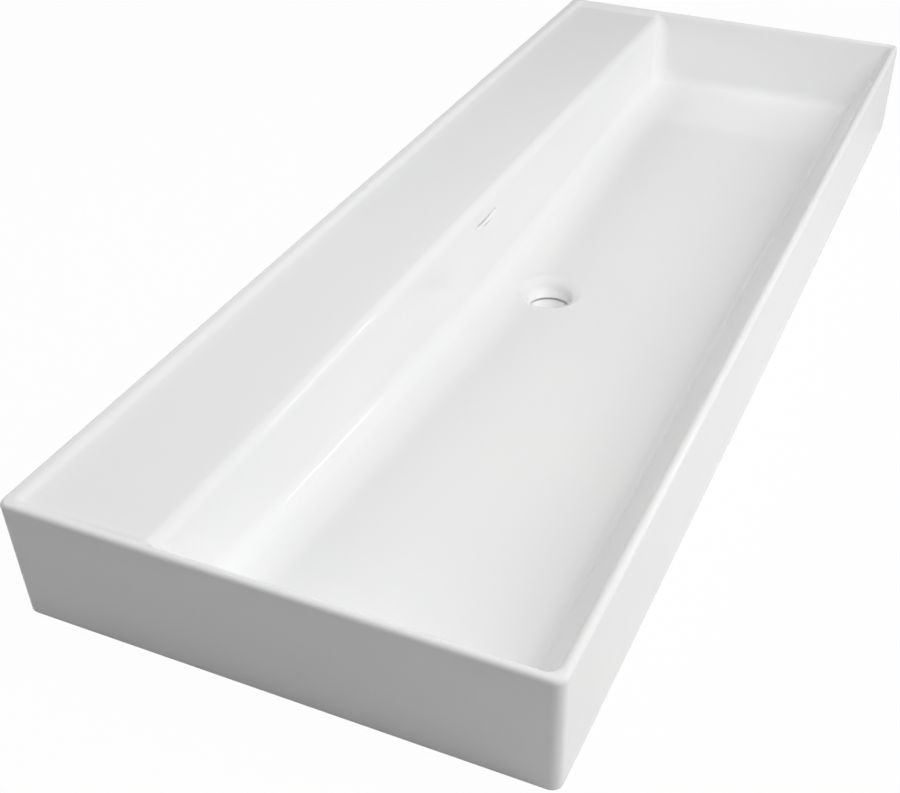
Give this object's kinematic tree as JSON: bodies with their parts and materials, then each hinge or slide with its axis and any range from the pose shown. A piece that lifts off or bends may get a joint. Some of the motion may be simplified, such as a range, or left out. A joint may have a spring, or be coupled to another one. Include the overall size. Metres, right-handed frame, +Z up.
{
  "type": "vanity basin",
  "caption": "Long rectangular white ceramic vanity basin with a thin raised rim, flat rear deck, sloping bowl floor, half-moon overflow and drain boss.",
  "frame": {"origin": "on the drain axis, level with the bottom of the apron, which stands on the cabinet top", "axes": "+X along the basin to its right end, +Y to the wall behind it, +Z up out of the drain"},
  "size_m": [1.2, 0.45, 0.144],
  "materials": {
    "glaze": "gloss white glaze with a faint orange peel",
    "biscuit": "bare fired clay, matt and slightly sandy"
  },
  "bodies": {
    "root": {"rim_front": "glaze", "rim_left": "glaze", "rim_right": "glaze", "deck": "glaze", "apron_front": "glaze", "apron_back": "glaze", "apron_left": "glaze", "apron_right": "glaze", "bowl_front": "glaze", "bowl_back_left": "glaze", "overflow_panel": "glaze", "bowl_back_right": "glaze", "bowl_left": "glaze", "bowl_right": "glaze", "bowl_floor": "glaze", "drain_boss": "glaze", "overflow_duct": "biscuit", "fixing_pad_left": "biscuit", "fixing_pad_right": "biscuit", "web_left_inner": "biscuit", "web_left_outer": "biscuit", "web_right_inner": "biscuit", "web_right_outer": "biscuit"}
  },
  "joints": []
}
